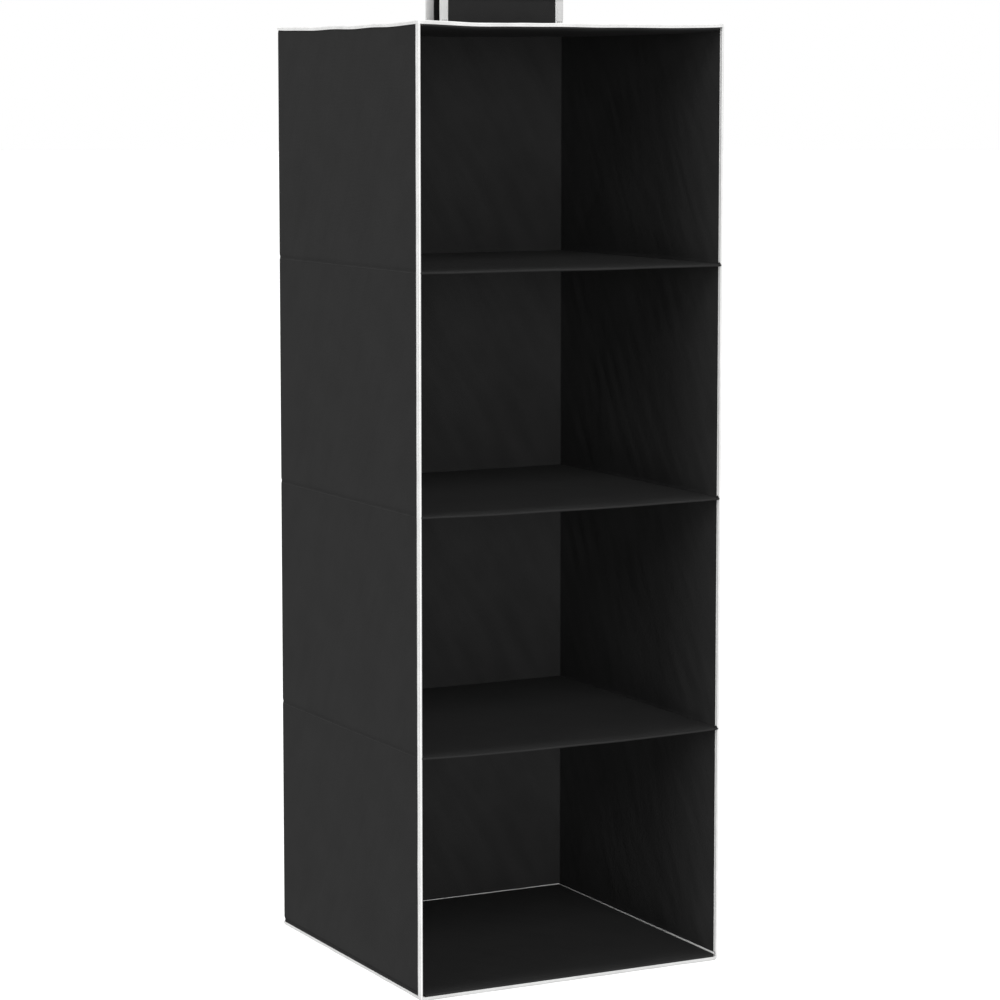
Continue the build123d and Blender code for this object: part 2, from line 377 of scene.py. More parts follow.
def panel_drop(panel, x, y):
    """How far a panel's cloth lies below its level."""
    if panel == "top":
        return top_dip(x, y)
    forward = 0.35 + 0.65 * smoothstep((BACK - y) / (BACK - FRONT))
    soft = 0.22 * MM * ripple(x, y, 0.08, PANELS.index(panel) + 20)
    inner = smoothstep((HALF - np.abs(x)) / 0.02)
    return SAGS[panel] * (1 - (x / HALF) ** 2) * forward + soft * inner


CORNER_RADIUS = 2.4 * MM  # the rear corners of the walls are rounded over this depth
CORNER_TURN = 2.0 * MM  # and turn in by this much


def rear_turn(y):
    """How far the cloth has turned in at a rounded rear corner."""
    return CORNER_TURN * smoothstep((y - BACK + CORNER_RADIUS) / CORNER_RADIUS)


PINCH_DEPTH = 9.0 * MM  # a panel thins over this distance from its front edge
TOP_PINCH, SHELF_PINCH = 0.55, 0.38  # by these shares of its thickness
CORNER_SET_BACK = 2.6 * MM  # a panel's front corners are drawn in behind the white binding


def front_pinch(panel, y):
    """Where a panel thins towards its front edge: 0 over the panel, up to 1 at the edge."""
    most = TOP_PINCH if panel == "top" else SHELF_PINCH
    return smoothstep((FRONT + PINCH_DEPTH - y) / PINCH_DEPTH) * most


def make_board(panel):
    low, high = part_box(f"{panel}_board")
    front = FRONT + PINCH_DEPTH * 0.6
    x, y = np.meshgrid(np.linspace(low.x, high.x, 41), np.linspace(front, high.y, 41), indexing="ij")
    drop = panel_drop(panel, x, y)
    middle, half = (low.z + high.z) / 2, (high.z - low.z) / 2 * (1 - front_pinch(panel, y))
    pile = Pile()
    upper = np.stack([x, y, middle + half - drop], -1)
    lower = np.stack([x, y, middle - half - drop], -1)
    pile.sheet(upper, lower, np.stack([x, y], -1))
    return pile.object(f"{panel}_stiff_board", BOARD, panel, "board", [f"{panel}_board"])


def make_sleeve(panel):
    """One sheet of cloth folded round the board's front edge, its side edges at the walls."""
    low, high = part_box(f"{panel}_sleeve")
    cloth = high.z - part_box(f"{panel}_board")[1].z
    radius = (high.z - low.z) / 2
    middle = (high.z + low.z) / 2
    front_radius = radius * (1 - front_pinch(panel, FRONT))
    bulk = 110
    lay = high.y - (high.y - low.y - front_radius) * np.sin(np.linspace(0, math.pi / 2, bulk))
    bend = np.radians(np.linspace(90, 270, 13))[1:-1]
    thin = radius * (1 - front_pinch(panel, lay))
    run_y = np.concatenate([lay, low.y + front_radius + front_radius * np.cos(bend), lay[::-1]])
    run_z = np.concatenate([thin, front_radius * np.sin(bend), -thin[::-1]])
    normal_y = np.concatenate([np.zeros(bulk), np.cos(bend), np.zeros(bulk)])
    normal_z = np.concatenate([np.ones(bulk), np.sin(bend), -np.ones(bulk)])
    steps = np.hypot(np.diff(run_y), np.diff(run_z))
    along = np.concatenate([[0], np.cumsum(steps)])
    share = np.linspace(-1, 1, 111)
    leaf = FRONT + 5.0 * MM
    reach = high.x - (high.x - LEAF_IN) * (1 - smoothstep((run_y - leaf) / (2.0 * MM)))
    reach = reach - CORNER_SET_BACK * np.clip((leaf - run_y) / (leaf - FRONT), 0, 1)
    if panel == "bottom":
        reach = reach - rear_turn(run_y)
    y = np.repeat(run_y[:, None], len(share), 1)
    x = reach[:, None] * share[None]
    z = middle + run_z[:, None] - panel_drop(panel, x, y)
    puff = 0.10 * MM * ripple(x, y + 5 * run_z[:, None], 0.035, 40 + PANELS.index(panel))
    z = z + puff * normal_z[:, None] * 0.5
    outer = np.stack([x, y, z], -1)
    push = np.stack([np.zeros_like(x), np.repeat(normal_y[:, None], len(share), 1),
                     np.repeat(normal_z[:, None], len(share), 1)], -1)
    inner = outer - cloth * 0.8 * push
    pile = Pile()
    pile.sheet(outer, inner, np.stack([x, np.repeat(along[:, None], len(share), 1)], -1))
    if panel == "bottom":
        close_sides(pile, low, high)
    made = pile.object(f"{panel}_cloth_sleeve", BLACK, panel, "black_cloth", [f"{panel}_sleeve"])
    return made, (2 * high.x, float(along[-1]))


def close_sides(pile, low, high):
    """The bottom sleeve's cloth turned up over its side and back edges."""
    depth = np.linspace(low.z, high.z, 7)
    bow = 0.5 * MM * (1 - np.linspace(-1, 1, 7) ** 2)
    y, z = np.meshgrid(np.linspace(FRONT + 2 * MM, high.y, 90), depth, indexing="ij")
    round_off = bow[None] - rear_turn(y)
    for side in (-1, 1):
        x = side * (high.x - 0.5 * MM + round_off)
        outer = np.stack([x, y, z], -1)
        pile.sheet(outer, outer - np.array([side * 0.6 * MM, 0, 0]), np.stack([y, z], -1))
    half = high.x - CORNER_TURN
    x, z = np.meshgrid(np.linspace(-half, half, 90), depth, indexing="ij")
    outer = np.stack([x, high.y - 0.5 * MM + bow[None] + 0 * x, z], -1)
    pile.sheet(outer, outer - np.array([0, 0.6 * MM, 0]), np.stack([x, z], -1))


# ---------------------------------------------------------------- walls


def folds(a, b, width, height, seed):
    """Slack folds that run from the top corners of a wall down into it."""
    rng = np.random.default_rng(seed)
    total = np.zeros_like(a)
    for corner, lean in ((0.0, 1), (width, -1), (0.0, 1), (width, -1), (0.0, 1)):
        start_a = corner + lean * rng.uniform(0.0, 0.05)
        turn = math.radians(rng.uniform(20, 65))
        long, wide = rng.uniform(0.06, 0.13), rng.uniform(0.006, 0.012)
        high = rng.uniform(0.25, 0.6) * MM * rng.choice([-1, 1])
        from_top = rng.uniform() < 0.65
        down = b if from_top else height - b
        along = (a - start_a) * lean * math.cos(turn) + down * math.sin(turn)
        across = -(a - start_a) * lean * math.sin(turn) + down * math.cos(turn)
        fade_out = 1 - smoothstep((along - 0.4 * long) / (0.6 * long))
        window = smoothstep(along / (0.25 * long)) * fade_out
        total += high * np.exp(-((across / wide) ** 2)) * window
    return total


def streaks(a, b, turn, size, seed):
    """Patches of narrow creases, much longer than wide, that lean by turn from level."""
    turn = math.radians(turn)
    along = a * math.cos(turn) + b * math.sin(turn)
    across = -a * math.sin(turn) + b * math.cos(turn)
    patches = smoothstep(0.5 + 0.6 * ripple(a, b, 0.09, seed + 1))
    return ripple(0.10 * along, across, size, seed) * patches


# Lean of the creases in each wall, measured from level, across and down.
LEANS = {"left": 62, "right": 118, "back": 60}
CREASES = {"left": 0.05 * MM, "right": 0.30 * MM, "back": 0.42 * MM}  # and their height


def wall_bulge(name, a, b, width, height, seed):
    """How far a wall stands out of its plane: a across, from one edge; b down, from the seam."""
    sides = smoothstep(a / 0.03) * smoothstep((width - a) / 0.03)
    seams = smoothstep(b / 0.02) * smoothstep((height - b) / 0.02)
    rng = np.random.default_rng(seed)
    bow = rng.uniform(-1.2, -0.5) * MM
    body = bow * np.sin(math.pi * a / width) * np.sin(math.pi * b / height)
    body = body + 0.3 * MM * ripple(a, b, 0.10, seed + 1) + folds(a, b, width, height, seed + 2)
    body = body + CREASES[name] * streaks(a, b, LEANS[name], 0.015, seed + 5)
    body = body + 0.5 * CREASES[name] * streaks(a, b, LEANS[name] - 14, 0.010, seed + 8)
    pucker = 0.16 * MM * ripple(a, 0.2 * b, 0.016, seed + 3)
    near = np.exp(-b / 0.012) + np.exp(-(height - b) / 0.012)
    groove = 1.5 * MM
    pinch = np.exp(-((b / groove) ** 2)) + np.exp(-(((height - b) / groove) ** 2))
    pinch = -0.6 * MM * pinch
    return body * sides * seams + (pucker * near) * sides + pinch


def spaced_down(height):
    """Steps down a wall, closer together at its seams."""
    fine = np.array([0, 0.6, 1.2, 1.9, 2.8, 4.0, 6.0]) * MM
    return np.concatenate([fine, np.linspace(8.5 * MM, height - 8.5 * MM, 62), height - fine[::-1]])


def wall_sheet(name, tier, along, outward, start, length):
    """A wall of one compartment. along and outward are unit vectors; start its first top edge."""
    top, bottom = LEVELS[tier - 1], LEVELS[tier]
    height = top - bottom
    ends = np.array([0, 0.3, 0.6, 0.9, 1.2, 1.5, 1.8, 2.1, 2.5, 3.2, 4.2]) * MM
    across = np.concatenate([ends, np.linspace(6.5 * MM, length - 6.5 * MM, 84), length - ends[::-1]])
    a, b = np.meshgrid(across, spaced_down(height), indexing="ij")
    seed = 100 * tier + {"left": 1, "right": 2, "back": 3}[name]
    out = wall_bulge(name, a, b, length, height, seed)
    along, outward = np.array(along), np.array(outward)
    flat = np.array(start) + a[..., None] * along + np.array([0, 0, -1.0]) * b[..., None]
    if tier == 1:
        dip = top_dip(flat[..., 0], flat[..., 1])
        flat[..., 2] -= dip * (1 - smoothstep(b / (0.5 * height)))
    end = np.clip((a - (length - CORNER_RADIUS)) / CORNER_RADIUS, 0, 1)
    corner = CORNER_RADIUS * (1 - np.sqrt(1 - 0.97 * end**2)) if name != "back" else 0 * a
    outer = flat + (out - corner)[..., None] * outward
    inner = flat + (out - CLOTH)[..., None] * outward
    pile = Pile()
    pile.sheet(outer, inner, np.stack([-a if name == "right" else a, b], -1))
    made = pile.object(f"{name}_cloth_wall_{tier}", BLACK, PANELS[tier - 1], "black_cloth",
                       [f"{name}_wall_{tier}"], inside=BLACK_INSIDE)
    return made, (length, height)


def squash_with(piece):
    """Gives a piece of one compartment its own copy of its mesh."""
    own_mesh(piece)


# ---------------------------------------------------------------- front binding


HALF_FOLD = (HALF - LEAF_IN) / 2
FOLD_CENTRE = HALF - HALF_FOLD
OUTER_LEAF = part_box("left_binding_1")[1].y - FRONT
INNER_LEAF = 4.5 * MM
SEAM_AT = 2.9 * MM  # stitches, from the front edge


def binding_profile():
    """Tape folded round a side wall's front edge, pulled in along its stitches: across, back."""
    turns = np.radians(np.linspace(0, 180, 15))
    outer_y = np.array([OUTER_LEAF, OUTER_LEAF - 0.3 * MM, 5.0 * MM, SEAM_AT + 0.9 * MM, SEAM_AT,
                        SEAM_AT - 0.8 * MM])
    outer_x = np.array([0.60, 0.86, 0.93, 0.86, 0.52, 0.92]) * HALF_FOLD
    inner_y = np.array([SEAM_AT - 0.8 * MM, SEAM_AT, SEAM_AT + 0.7 * MM, INNER_LEAF - 0.2 * MM,
                        INNER_LEAF])
    inner_x = -np.array([0.92, 0.52, 0.86, 0.88, 0.58]) * HALF_FOLD
    nose_y = 1.25 * HALF_FOLD * (1 - np.sin(turns))
    nose_x = HALF_FOLD * np.cos(turns)
    # the tape's inside lies on the wall's cloth
    slot_x = np.array([-0.40, -0.38, 0.0, 0.38, 0.40]) * HALF_FOLD
    slot_y = np.array([INNER_LEAF, 1.2 * MM, 1.0 * MM, 1.2 * MM, OUTER_LEAF])
    return (np.concatenate([outer_x, nose_x, inner_x, slot_x]),
            np.concatenate([outer_y, nose_y, inner_y, slot_y]))


def front_binding(side, hand, tier):
    run_x, run_y = binding_profile()
    z = np.linspace(LEVELS[tier - 1], LEVELS[tier], 90)
    leaf_wave = 0.25 * MM * ripple(z, 0 * z, 0.05, 300 + 10 * tier + side)
    puff = 0.97 - 0.03 * np.abs(ripple(z, 0 * z, 0.011, 400 + 10 * tier + side))
    edge = np.clip((run_y - SEAM_AT) / (OUTER_LEAF - SEAM_AT), 0, 1)
    x = FOLD_CENTRE + run_x[None] * puff[:, None]
    y = FRONT + run_y[None] + leaf_wave[:, None] * edge[None]
    rings = np.stack([side * x, y, np.repeat(z[:, None], len(run_x), 1)], -1)
    pile = Pile()
    pile.tube(rings)
    for face in (-1, 1):
        fine = np.linspace(z[0] - 1 * MM, z[-1] + 1 * MM, 200)
        path = np.stack([side * (FOLD_CENTRE + 0.6 * face * HALF_FOLD) + 0 * fine,
                         FRONT + SEAM_AT + 0 * fine, fine], -1)
        normals = np.repeat(np.array([[side * face, 0, 0]]), 200, 0)
        pile.stitches(path, normals, 3.3 * MM, 2.5 * MM, 0.22 * MM)
    return pile.object(f"{hand}_edge_binding_{tier}", WHITE, PANELS[tier - 1], "white_tape",
                       [f"{hand}_binding_{tier}"])


def binding_foot(pile, side):
    """Where a front binding runs on past the bottom panel into the seam below."""
    run_x, run_y = binding_profile()
    z = np.linspace(LEVELS[-1] - 0.1 * MM, Z_BOTTOM - 1.0 * MM, 8)
    rings = np.stack([np.repeat([side * (FOLD_CENTRE + 0.97 * run_x)], 8, 0),
                      np.repeat([FRONT + run_y], 8, 0), np.repeat(z[:, None], len(run_x), 1)], -1)
    pile.tube(rings)


# ---------------------------------------------------------------- bound seams


def rounded_square(half_x, front, back, radius, step):
    """Points round a rectangle with small round corners, and the outward direction at each."""
    points, normals = [], []
    corners = [(half_x, front, -90), (half_x, back, 0), (-half_x, back, 90), (-half_x, front, 180)]
    for index, (x, y, start) in enumerate(corners):
        inner = Vector((x - math.copysign(radius, x), y + (radius if y == front else -radius)))
        for angle in np.radians(start + np.linspace(0, 90, 5)):
            way = Vector((math.cos(angle), math.sin(angle)))
            points.append(inner + radius * way)
            normals.append(way)
        nx, ny, _ = corners[(index + 1) % 4]
        way = Vector((math.cos(math.radians(start + 90)), math.sin(math.radians(start + 90))))
        target = Vector((nx - math.copysign(radius, nx), ny + (radius if ny == front else -radius)))
        target = target + radius * way
        begin = points[-1].copy()
        count = int((target - begin).length / step)
        for k in range(1, count):
            points.append(begin.lerp(target, k / count))
            normals.append(way)
    return np.array([list(p) for p in points]), np.array([list(n) for n in normals])


def bound_seam(name, node, body, up, seed):
    """White tape folded over the seam that stands proud all round the top or the bottom."""
    low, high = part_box(node)
    tall, thick = (high.z - low.z) * (1.0 if up > 0 else 0.9), 2.0 * MM
    base = low.z if up > 0 else high.z
    middle = thick / 2
    points, normals = rounded_square(HALF - middle, FRONT + middle, BACK - middle, 1.2 * MM, 2.5 * MM)
    profile = [(-1, -0.12), (-1.0, 0.35), (-0.86, 0.5), (-1.0, 0.66), (-0.8, 0.9), (-0.35, 1.0),
               (0.35, 1.0), (0.8, 0.9), (1.0, 0.66), (0.86, 0.5), (1.0, 0.35), (1, -0.12)]
    profile = np.array(profile)
    wave = 0.22 * MM * ripple(points[:, 0], points[:, 1], 0.06, seed)
    grow = 1 + 0.05 * ripple(points[:, 0], points[:, 1], 0.03, seed + 1)
    dip = top_dip(points[:, 0], points[:, 1]) if up > 0 else 0 * wave
    side = profile[None, :, 0] * middle * 0.96 + wave[:, None] * np.clip(profile[None, :, 1], 0, 1)
    if up < 0:  # the lower seam turns in under the panel
        side = side - 1.3 * MM * np.clip(profile[None, :, 1], 0, 1) ** 1.5
    uneven = np.where(profile[None, :, 1] > 0, grow[:, None], 1.0)
    lift = profile[None, :, 1] * tall * uneven
    rings = np.stack([
        points[:, None, 0] + normals[:, None, 0] * side,
        points[:, None, 1] + normals[:, None, 1] * side,
        base - dip[:, None] + up * lift,
    ], -1)
    pile = Pile()
    pile.tube(rings, closed=True)
    for face in (-1, 1):
        tuck = 0.4 * MM if up < 0 else 0.0
        row = points + normals * (middle * 0.84 * face + wave[:, None] * 0.5 - tuck)
        path = np.stack([row[:, 0], row[:, 1], base - dip + up * 0.5 * tall], -1)
        out = np.concatenate([face * normals, 0 * normals[:, :1]], 1)
        pile.stitches(path, out, 3.3 * MM, 2.4 * MM, 0.2 * MM)
    if up < 0:
        for side in (-1, 1):
            binding_foot(pile, side)
    return pile.object(name, WHITE, body, "white_tape", [node])


def inner_seam():
    """The bound seam along the floor of the lowest compartment, thickest at the front."""
    low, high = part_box("bottom_inner_seam")
    wide = 1.4 * MM
    half, back = high.x - wide / 2, high.y - wide / 2
    front = low.y + 0.4 * MM
    tucked = front + INNER_LEAF  # the left end starts behind the white binding
    run = [Vector((half, front)), Vector((half, back)), Vector((-half, back)), Vector((-half, tucked))]
    turns = np.radians(np.linspace(0, 180, 9))
    pile = Pile()
    points, ways = [], []
    for start, end in zip(run[:-1], run[1:]):
        count = 90
        for k in range(count + 1):
            points.append(start.lerp(end, k / count))
            way = (end - start).normalized()
            ways.append(Vector((way.y, -way.x)))
    points, ways = np.array([list(p) for p in points]), np.array([list(w) for w in ways])
    forward = np.clip((back - points[:, 1]) / (back - low.y), 0, 1)
    size = 0.28 + 0.42 * forward + 0.05 * ripple(points[:, 0], points[:, 1], 0.02, 77)
    drop = panel_drop("bottom", points[:, 0], points[:, 1])
    arc_x, arc_z = np.cos(turns) * wide / 2, np.sin(turns) * (high.z - low.z)
    rings = np.stack([
        points[:, None, 0] + ways[:, None, 0] * arc_x[None] * size[:, None],
        points[:, None, 1] + ways[:, None, 1] * arc_x[None] * size[:, None],
        low.z - drop[:, None] + arc_z[None] * size[:, None],
    ], -1)
    pile.tube(rings)
    return pile.object("bottom_inner_bound_seam", WHITE, "bottom", "white_tape", ["bottom_inner_seam"])


# ---------------------------------------------------------------- shelf corners and seams


# How far each right-hand end runs past the binding's outer face; below zero it stops short.
NUB_ENDS = {"shelf_1": -1.1 * MM, "shelf_2": -1.4 * MM, "shelf_3": -1.0 * MM}
LEFT_NUB_END = -1.0 * MM


def corner_tabs(panel):
    """The pinched end of a shelf's front fold, sewn across the white binding."""
    low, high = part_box(f"{panel}_corner_tabs")
    middle = (low.z + high.z) / 2
    pile = Pile()
    for side in (-1, 1):
        inner_end = LEAF_IN - 3.0 * MM
        outer_end = HALF + (NUB_ENDS[panel] if side > 0 else LEFT_NUB_END)
        x = np.linspace(inner_end, outer_end, 16)
        share = (x - inner_end) / (outer_end - inner_end)
        tall = 1.0 * MM * np.sqrt(np.clip(1 - share**4, 0.02, 1))
        turns = np.radians(np.arange(0, 360, 30))
        rings = np.stack([
            np.repeat(side * x[:, None], 12, 1),
            FRONT + 0.1 * MM + 0.6 * np.cos(turns)[None] * tall[:, None],
            middle + (0.1 + 0.2 * share[:, None]) * MM + tall[:, None] * np.sin(turns)[None],
        ], -1)
        pile.tube(rings)
    return pile.object(f"{panel}_corner_ends", BLACK, panel, "black_cloth", [f"{panel}_corner_tabs"])


def shelf_stitching(panel):
    """Black lockstitch that joins a shelf to the walls, seen on the outside."""
    pile = Pile()
    z = LEVELS[PANELS.index(panel)] - PANEL_THICKNESS / 2
    y = np.linspace(FRONT + 9 * MM, BACK - 3 * MM, 300)
    for side in (-1, 1):
        path = np.stack([side * (WALL_OUT - 0.1 * MM) + 0 * y, y, z + 0 * y], -1)
        pile.stitches(path, np.repeat([[side, 0, 0]], 300, 0), 4.0 * MM, 2.9 * MM, 0.22 * MM)
    x = np.linspace(-WALL_IN + 3 * MM, WALL_IN - 3 * MM, 300)
    path = np.stack([x, BACK - 0.1 * MM + 0 * x, z + 0 * x], -1)
    pile.stitches(path, np.repeat([[0, 1, 0]], 300, 0), 4.0 * MM, 2.9 * MM, 0.22 * MM)
    return pile.object(f"{panel}_side_stitching", THREAD, panel, "black_cloth")


# ---------------------------------------------------------------- strap

ROD = frame["record"]["mounts"][0]["dims"]["r_mm"] * MM
STRAP_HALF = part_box("strap_binding")[1].x
STRAP_LEAF = 7.5 * MM  # width of the strap's edge tape
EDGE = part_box("strap_binding")[1].z - ROD  # thickness of the band with its edge tape
HINGE_Z = 3.6 * MM  # the flap starts this far above the rod's axis


def dense(points, step=1.2 * MM):
    """Evenly spaced points along a polyline in the (y, z) plane."""
    points = np.array(points)
    steps = np.linalg.norm(np.diff(points, axis=0), axis=1)
    along = np.concatenate([[0], np.cumsum(steps)])
    even = np.linspace(0, along[-1], int(along[-1] / step) + 1)
    return np.stack([np.interp(even, along, points[:, i]) for i in (0, 1)], -1)


def rounded_corner(before, corner, after, radius, count=8):
    """Points of an arc that rounds a corner in the (y, z) plane."""
    before, corner, after = (np.array(p, float) for p in (before, corner, after))
    a = (before - corner) / np.linalg.norm(before - corner)
    b = (after - corner) / np.linalg.norm(after - corner)
    half = math.acos(float(np.clip(a @ b, -1, 1))) / 2
    reach = radius / math.tan(half)
    centre = corner + (a + b) / np.linalg.norm(a + b) * radius / math.sin(half)
    first, last = corner + a * reach - centre, corner + b * reach - centre
    out = []
    for share in np.linspace(0, 1, count):
        way = first * (1 - share) + last * share
        out.append(centre + way / np.linalg.norm(way) * radius)
    return out


# Rows of bar tacks across the edge tape, just above the strap's feet.
TACK_HEIGHTS = [Z_TOP + rise * MM for rise in (2.8, 4.0, 5.2, 6.4)]


def band(node, path, inward, body, seed):
    """A strap of cloth along a path in the (y, z) plane, with tape folded over both edges.
    inward is +1 where the band's inner face lies to the left of the path."""
    path = dense(path)
    ahead = np.gradient(path, axis=0)
    ahead = ahead / np.linalg.norm(ahead, axis=1)[:, None]
    out = np.stack([ahead[:, 1], -ahead[:, 0]], -1) * inward
    steps = np.linalg.norm(np.diff(path, axis=0), axis=1)
    along = np.concatenate([[0], np.cumsum(steps)])
    half_band = STRAP_HALF - 1.2 * MM
    across = np.linspace(-half_band, half_band, 41)
    s, x = np.meshgrid(along, across, indexing="ij")
    wave = 0.16 * MM * ripple(s, x, 0.045, seed) * smoothstep((half_band - np.abs(x)) / 0.01)
    lift_out, lift_in = 1.3 * MM, 0.4 * MM

    def surface(lift):
        offset = lift + wave
        return np.stack([x, path[:, None, 0] + out[:, None, 0] * offset,
                         path[:, None, 1] + out[:, None, 1] * offset], -1)

    pile = Pile()
    pile.sheet(surface(lift_out), surface(lift_in), np.stack([x, s], -1))
    cloth = pile.object(f"{node}_cloth", STRAP_BLACK, body, "strap_cloth", [node])

    taped, tacks = Pile(), Pile()
    footed = path[0, 1] < Z_TOP + 1 * MM
    thick = EDGE
    # tape folded over the band's edge: share of its width from the edge, share of its thickness
    profile = np.array([
        (0.0, 0.98), (0.25, 1.0), (0.6, 0.96), (0.8, 0.84), (0.95, 0.97), (1.0, 0.86),
        (1.0, 0.66), (1.03, 0.62), (1.03, 0.36), (1.0, 0.32), (1.0, 0.12),
        (0.95, 0.02), (0.8, 0.12), (0.6, 0.03), (0.25, 0.0), (0.0, 0.02),
    ])
    for side in (-1, 1):
        wobble = 0.2 * MM * ripple(along, 0 * along, 0.06, seed + 5 + side)
        edge_x = STRAP_HALF - profile[None, :, 0] * STRAP_LEAF + wobble[:, None] * profile[None, :, 0]
        height = profile[None, :, 1] * thick + 0 * along[:, None]
        rings = np.stack([
            side * edge_x,
            path[:, None, 0] + out[:, None, 0] * height,
            path[:, None, 1] + out[:, None, 1] * height,
        ], -1)
        taped.tube(rings)
        for level, face in ((0.86, 1), (0.14, -1)):
            row = path + out * thick * level
            seam_x = side * (STRAP_HALF - 0.8 * STRAP_LEAF + wobble * 0.8)
            line = np.stack([seam_x, row[:, 0], row[:, 1]], -1)
            normals = np.concatenate([0 * out[:, :1], face * out], 1)
            taped.stitches(line, normals, 3.3 * MM, 2.5 * MM, 0.22 * MM)
        for rise in TACK_HEIGHTS if footed else []:
            k = int(np.argmax(path[:, 1] >= rise))
            for level, face in ((0.95, 1), (0.03, -1)):
                at = path[k] + out[k] * thick * level
                cross = STRAP_HALF - STRAP_LEAF * np.linspace(0.06, 0.92, 30)
                line = np.stack([side * cross, at[0] + 0 * cross, rise + 0 * cross], -1)
                normals = np.repeat([[0, face * out[k, 0], face * out[k, 1]]], 30, 0)
                tacks.stitches(line, normals, 1.7 * MM, 1.5 * MM, 0.3 * MM)
    edges = [taped.object(f"{node}_edge_tape", WHITE, body, "white_tape", [f"{node}_binding"])]
    if footed:
        edges.append(tacks.object(f"{node}_bar_tacks", TACK_THREAD, body, "white_tape"))
    length = float(along[-1])
    return cloth, edges, (2 * half_band, length)


def strap_pieces():
    """The strap behind and over the rod, its front flap, and the tab that the flap closes on."""
    foot_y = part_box("strap")[1].y
    arc = [(ROD * math.cos(t), ROD * math.sin(t))
           for t in np.linspace(0, math.pi - math.asin(HINGE_Z / ROD), 40)]
    heel = rounded_corner((foot_y, Z_TOP), (ROD, Z_TOP), (ROD, 0), 3.0 * MM)
    rear = [(foot_y, Z_TOP), *heel, *arc]
    cloth, edges, flat = band("strap", rear, 1, "top", 31)

    flap_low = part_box("strap_flap")[0].z
    bend = [(-ROD * math.cos(t), ROD * math.sin(t)) for t in np.linspace(math.asin(HINGE_Z / ROD), 0, 6)]
    front = [*bend, (-ROD, flap_low)]
    flap, flap_edges, flap_flat = band("strap_flap", front, 1, None, 37)

    tab_low, tab_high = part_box("strap_tab")
    ankle = rounded_corner((tab_low.y, Z_TOP), (tab_high.y, Z_TOP), (tab_high.y, tab_high.z), 2.5 * MM)
    tab_path = [(tab_low.y, Z_TOP), *ankle, (tab_high.y, tab_high.z)]
    tab, tab_edges, tab_flat = band("strap_tab", tab_path, -1, "top", 43)
    for piece in (flap, *flap_edges):
        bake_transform(piece)
    return (cloth, edges, flat), (flap, flap_edges, flap_flat), (tab, tab_edges, tab_flat)


def foot_stitching():
    """Box and cross stitching that holds the strap's two feet down on the top panel."""
    pile = Pile()
    z = Z_TOP + 1.35 * MM
    half = STRAP_HALF - STRAP_LEAF - 5 * MM
    rear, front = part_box("strap")[1].y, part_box("strap_tab")[0].y
    for inner, outer in ((ROD + 4.5 * MM, rear - 3.5 * MM), (front + 3.5 * MM, -ROD - 4.5 * MM)):
        box = [(-half, inner), (half, inner), (half, outer), (-half, outer), (-half, inner)]
        lines = list(zip(box[:-1], box[1:])) + [(box[0], box[2]), (box[1], box[3])]
        for start, end in lines:
            share = np.linspace(0, 1, 60)[:, None]
            flat = np.array(start) * (1 - share) + np.array(end) * share
            path = np.concatenate([flat, 0 * share + z], 1)
            pile.stitches(path, np.repeat([[0, 0, 1]], 60, 0), 3.0 * MM, 2.3 * MM, 0.22 * MM)
    return pile.object("strap_foot_stitching", THREAD, "top", "strap_cloth")


def closure_tape(node, name, body, material, outward_y, seed):
    """Hook tape or loop tape: a thin pad that thins towards its edges, where it is sewn down."""
    low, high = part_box(node)
    x, z = np.meshgrid(np.linspace(low.x, high.x, 70), np.linspace(low.z, high.z, 40), indexing="ij")
    rim = np.minimum(np.minimum(x - low.x, high.x - x), np.minimum(z - low.z, high.z - z))
    thick = high.y - low.y
    top = thick * (0.45 + 0.5 * smoothstep(rim / (2.5 * MM))) * (1 + 0.05 * ripple(x, z, 0.004, seed))
    top = np.minimum(top, thick)
    base = high.y if outward_y < 0 else low.y
    outer = np.stack([x, base + outward_y * top, z], -1)
    inner = np.stack([x, base + 0 * x, z], -1)
    pile = Pile()
    pile.sheet(outer, inner, np.stack([x, z], -1))
    made = pile.object(name, material, body, "closure", [node])
    return made


# ---------------------------------------------------------------- build

for panel in PANELS:
    board = make_board(panel)
    sleeve, flat = make_sleeve(panel)
    extras = []
    if panel == "top":
        extras = [bound_seam("top_bound_seam", "top_binding", "top", 1, 61)]
    elif panel == "bottom":
        extras = [bound_seam("bottom_bound_seam", "bottom_binding", "bottom", -1, 67), inner_seam()]
    else:
        extras = [corner_tabs(panel), shelf_stitching(panel)]

BACK_HALF = WALL_OUT - CORNER_TURN
for tier in range(1, TIERS + 1):
    top = LEVELS[tier - 1]
    depth = BACK - WALL_FRONT
    for side, hand in ((-1, "left"), (1, "right")):
        start = (side * WALL_OUT, WALL_FRONT, top)
        wall, flat = wall_sheet(hand, tier, (0, 1, 0), (side, 0, 0), start, depth)
        binding = front_binding(side, hand, tier)
        squash_with(binding)
        squash_with(wall)
    start = (-BACK_HALF, BACK, top)
    back, flat = wall_sheet("back", tier, (1, 0, 0), (0, 1, 0), start, 2 * BACK_HALF)
    squash_with(back)

hook = closure_tape("strap_hook_tape", "strap_hook_pad", "strap_flap", HOOK, 1, 91)
loop = closure_tape("strap_loop_tape", "strap_loop_pad", "top", LOOP, -1, 92)
strap, flap, tab = strap_pieces()
feet = foot_stitching()

# ---------------------------------------------------------------- studio

scene = bpy.context.scene
scene.view_settings.view_transform = "Standard"

FLOOR_DROP = 0.5  # the organiser hangs clear of the floor
FLOOR_REACH = 80.0
FLOOR_SIDES = 48
FILL_LIGHT = 0.39  # the world's light on the object; the camera itself sees the world white

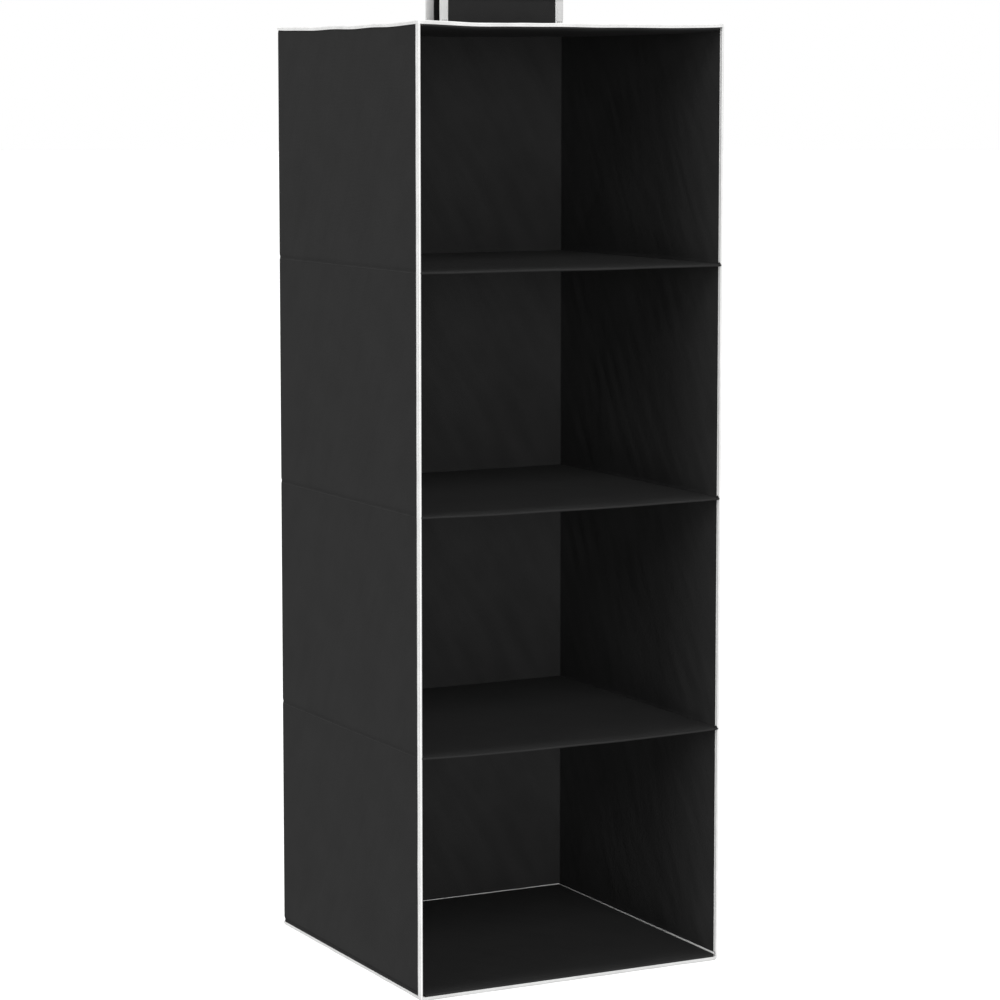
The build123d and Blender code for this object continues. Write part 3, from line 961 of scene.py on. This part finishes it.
turns = np.arange(FLOOR_SIDES) * 2 * math.pi / FLOOR_SIDES
floor_z = 0 * turns + Z_BOTTOM - FLOOR_DROP
rim = np.stack([FLOOR_REACH * np.cos(turns), FLOOR_REACH * np.sin(turns), floor_z], -1)
floor_mesh = bpy.data.meshes.new("floor")
floor_mesh.from_pydata(rim.tolist(), [], [list(range(FLOOR_SIDES))])
floor = bpy.data.objects.new("floor", floor_mesh)
floor_mesh.materials.append(painted_floor("pale_floor", (0.93, 0.93, 0.93), (0.96, 0.96, 0.96)))
scene.collection.objects.link(floor)
floor.visible_diffuse = floor.visible_glossy = floor.visible_shadow = False

world = bpy.data.worlds.new("studio")
scene.world = world
world.use_nodes = True
sky = world.node_tree
fill = sky.nodes["Background"]
fill.inputs["Color"].default_value = (1, 1, 1, 1)
fill.inputs["Strength"].default_value = FILL_LIGHT
backdrop = sky.nodes.new("ShaderNodeBackground")
backdrop.inputs["Color"].default_value = (1, 1, 1, 1)
seen = sky.nodes.new("ShaderNodeLightPath").outputs["Is Camera Ray"]
blend = sky.nodes.new("ShaderNodeMixShader")
sky.links.new(seen, blend.inputs[0])
sky.links.new(fill.outputs[0], blend.inputs[1])
sky.links.new(backdrop.outputs[0], blend.inputs[2])
sky.links.new(blend.outputs[0], sky.nodes["World Output"].inputs["Surface"])


def soft_light(name, azimuth, elevation, spread, strength):
    """Wide soft light from one side, the same over the whole set; angles in degrees."""
    data = bpy.data.lights.new(name, "SUN")
    data.energy, data.angle = strength, math.radians(spread)
    made = bpy.data.objects.new(name, data)
    a, e = math.radians(azimuth), math.radians(elevation)
    back = Vector((math.sin(a) * math.cos(e), -math.cos(a) * math.cos(e), math.sin(e)))
    made.rotation_mode = "QUATERNION"
    made.rotation_quaternion = back.to_track_quat("Z", "Y")
    scene.collection.objects.link(made)


soft_light("key", -87, 6, 32, 1.98)
soft_light("front", -14, -2, 32, 1.75)
soft_light("high_front", -10, 38, 32, 1.5)
soft_light("overhead", 0, 90, 14, 1.7)

CAMERA_AZIMUTH, CAMERA_ELEVATION = math.radians(-27.33), math.radians(6.11)
camera_data = bpy.data.cameras.new("camera")
camera_data.sensor_width = 36.0
camera_data.lens = 116.47
camera_data.shift_y = -0.053
camera = bpy.data.objects.new("camera", camera_data)
camera.location = (-1.348, -2.617, -0.185)
away = Vector((math.sin(CAMERA_AZIMUTH) * math.cos(CAMERA_ELEVATION),
               -math.cos(CAMERA_AZIMUTH) * math.cos(CAMERA_ELEVATION), math.sin(CAMERA_ELEVATION)))
camera.rotation_mode = "QUATERNION"
camera.rotation_quaternion = away.to_track_quat("Z", "Y")
scene.collection.objects.link(camera)
scene.camera = camera
